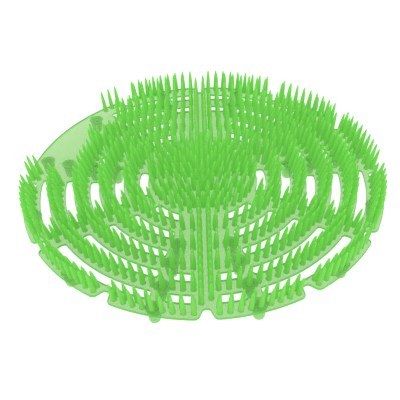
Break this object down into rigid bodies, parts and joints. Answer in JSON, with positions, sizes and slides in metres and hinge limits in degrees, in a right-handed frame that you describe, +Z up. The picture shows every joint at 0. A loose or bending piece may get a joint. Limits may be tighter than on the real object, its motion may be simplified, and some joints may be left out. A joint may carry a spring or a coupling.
{
  "type": "urinal deodorizer screen",
  "caption": "Round soft urinal deodorizer screen: a thin plate with ring-shaped drain slots, leaning bristles on top, hollow feet below and a plain grip tab.",
  "frame": {"origin": "centre of the bounding box on the plane that the feet stand on", "axes": "+Z up through the plate, -Y towards the front rim notch, +X to the right"},
  "size_m": [0.1836, 0.1836, 0.0211],
  "materials": {
    "soft_eva": "translucent soft green plastic, slightly shiny"
  },
  "bodies": {
    "root": {"urinal_screen": "soft_eva"}
  },
  "joints": []
}
